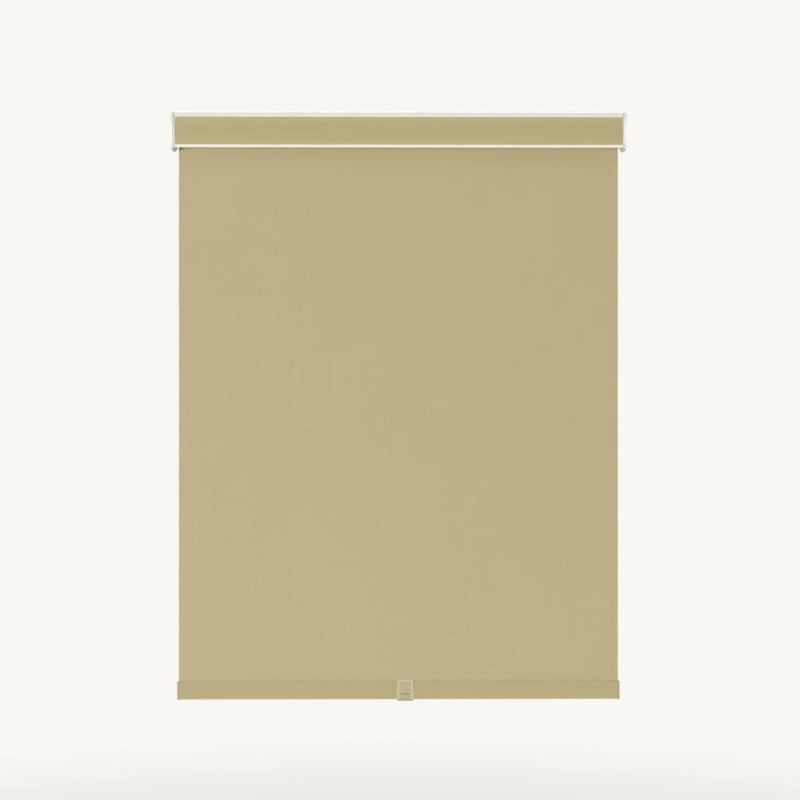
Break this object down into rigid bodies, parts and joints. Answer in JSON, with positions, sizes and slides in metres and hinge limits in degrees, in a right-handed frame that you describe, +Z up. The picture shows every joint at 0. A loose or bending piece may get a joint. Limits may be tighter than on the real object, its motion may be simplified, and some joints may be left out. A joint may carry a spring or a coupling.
{
  "type": "roller blind",
  "caption": "Cordless roller blind: curved cassette with a fabric-faced front, spring roller, flat fabric curtain, covered hem bar and a clear pull, for fixing inside a window opening.",
  "frame": {"origin": "middle of the mounting plane, which is the top of the two brackets, straight above the roller's axis", "axes": "+X to the right seen from the room, +Y away from the room towards the glass, +Z up"},
  "size_m": [0.908, 0.0891, 1.184],
  "materials": {
    "white_metal": "satin",
    "white_aluminium": "satin white powder coat, so that it looks like white_metal",
    "white_plastic": "fine moulded texture",
    "fabric": "plain-woven light-filtering polyester",
    "tan_plastic": "moulded to match the fabric",
    "clear_plastic": "clear polycarbonate",
    "nylon": "natural",
    "aluminium": "mill",
    "steel": "zinc plated"
  },
  "bodies": {
    "root": {"cassette_rail": "white_aluminium", "fascia_insert": "fabric", "left_end_cap": "white_plastic", "right_end_cap": "white_plastic", "left_cap_screw_1": "steel", "left_cap_screw_2": "steel", "left_cap_screw_3": "steel", "right_cap_screw_1": "steel", "right_cap_screw_2": "steel", "right_cap_screw_3": "steel", "idle_end_plate": "white_metal", "spring_end_plate": "white_metal", "idle_socket_bush": "nylon", "left_bracket": "white_metal", "right_bracket": "white_metal", "left_latch_spring": "steel", "right_latch_spring": "steel", "spring_motor_head": "nylon", "spring_shaft": "steel", "shaft_clip": "steel", "torsion_spring": "steel", "shade_fabric": "fabric"},
    "roller": {"roller_tube": "aluminium", "fabric_roll": "fabric", "fabric_spline": "nylon", "idle_end_plug": "nylon", "idle_pin_spring": "steel", "idle_spring_retainer": "nylon", "spring_drive_plug": "nylon", "bearing_crown": "nylon", "brake_spring": "steel"},
    "idle_pin": {"idle_pin": "steel"},
    "bottom_rail": {"hem_bar": "aluminium", "hem_fabric_wrap": "fabric", "hem_spline": "nylon", "left_hem_cap": "tan_plastic", "right_hem_cap": "tan_plastic", "pull_handle": "clear_plastic"},
    "left_latch": {"left_latch": "white_plastic"},
    "right_latch": {"right_latch": "white_plastic"}
  },
  "joints": [
    {"name": "shade_lift", "type": "slide", "parent": "root", "child": "bottom_rail", "axis": [0, 0, 1], "range_m": [0, 1.065], "deforming": ["shade_fabric"]},
    {"name": "roller_spin", "type": "hinge", "parent": "root", "child": "roller", "pos_m": [0, 0, -0.042], "axis": [1, 0, 0], "range_deg": [0, 2800], "deforming": ["torsion_spring"]},
    {"name": "idle_pin_slide", "type": "slide", "parent": "roller", "child": "idle_pin", "axis": [1, 0, 0], "range_m": [0, 0.0046], "stiffness_N_per_m": 1000, "springref_m": -0.003, "deforming": ["idle_pin_spring"]},
    {"name": "left_latch_slide", "type": "slide", "parent": "root", "child": "left_latch", "axis": [0, -1, 0], "range_m": [0, 0.003], "stiffness_N_per_m": 500, "springref_m": -0.002, "deforming": ["left_latch_spring"]},
    {"name": "right_latch_slide", "type": "slide", "parent": "root", "child": "right_latch", "axis": [0, -1, 0], "range_m": [0, 0.003], "stiffness_N_per_m": 500, "springref_m": -0.002, "deforming": ["right_latch_spring"]}
  ],
  "couplings": [
    {"joint": "roller_spin", "follows": "shade_lift", "rad_per_m": 45.8}
  ]
}
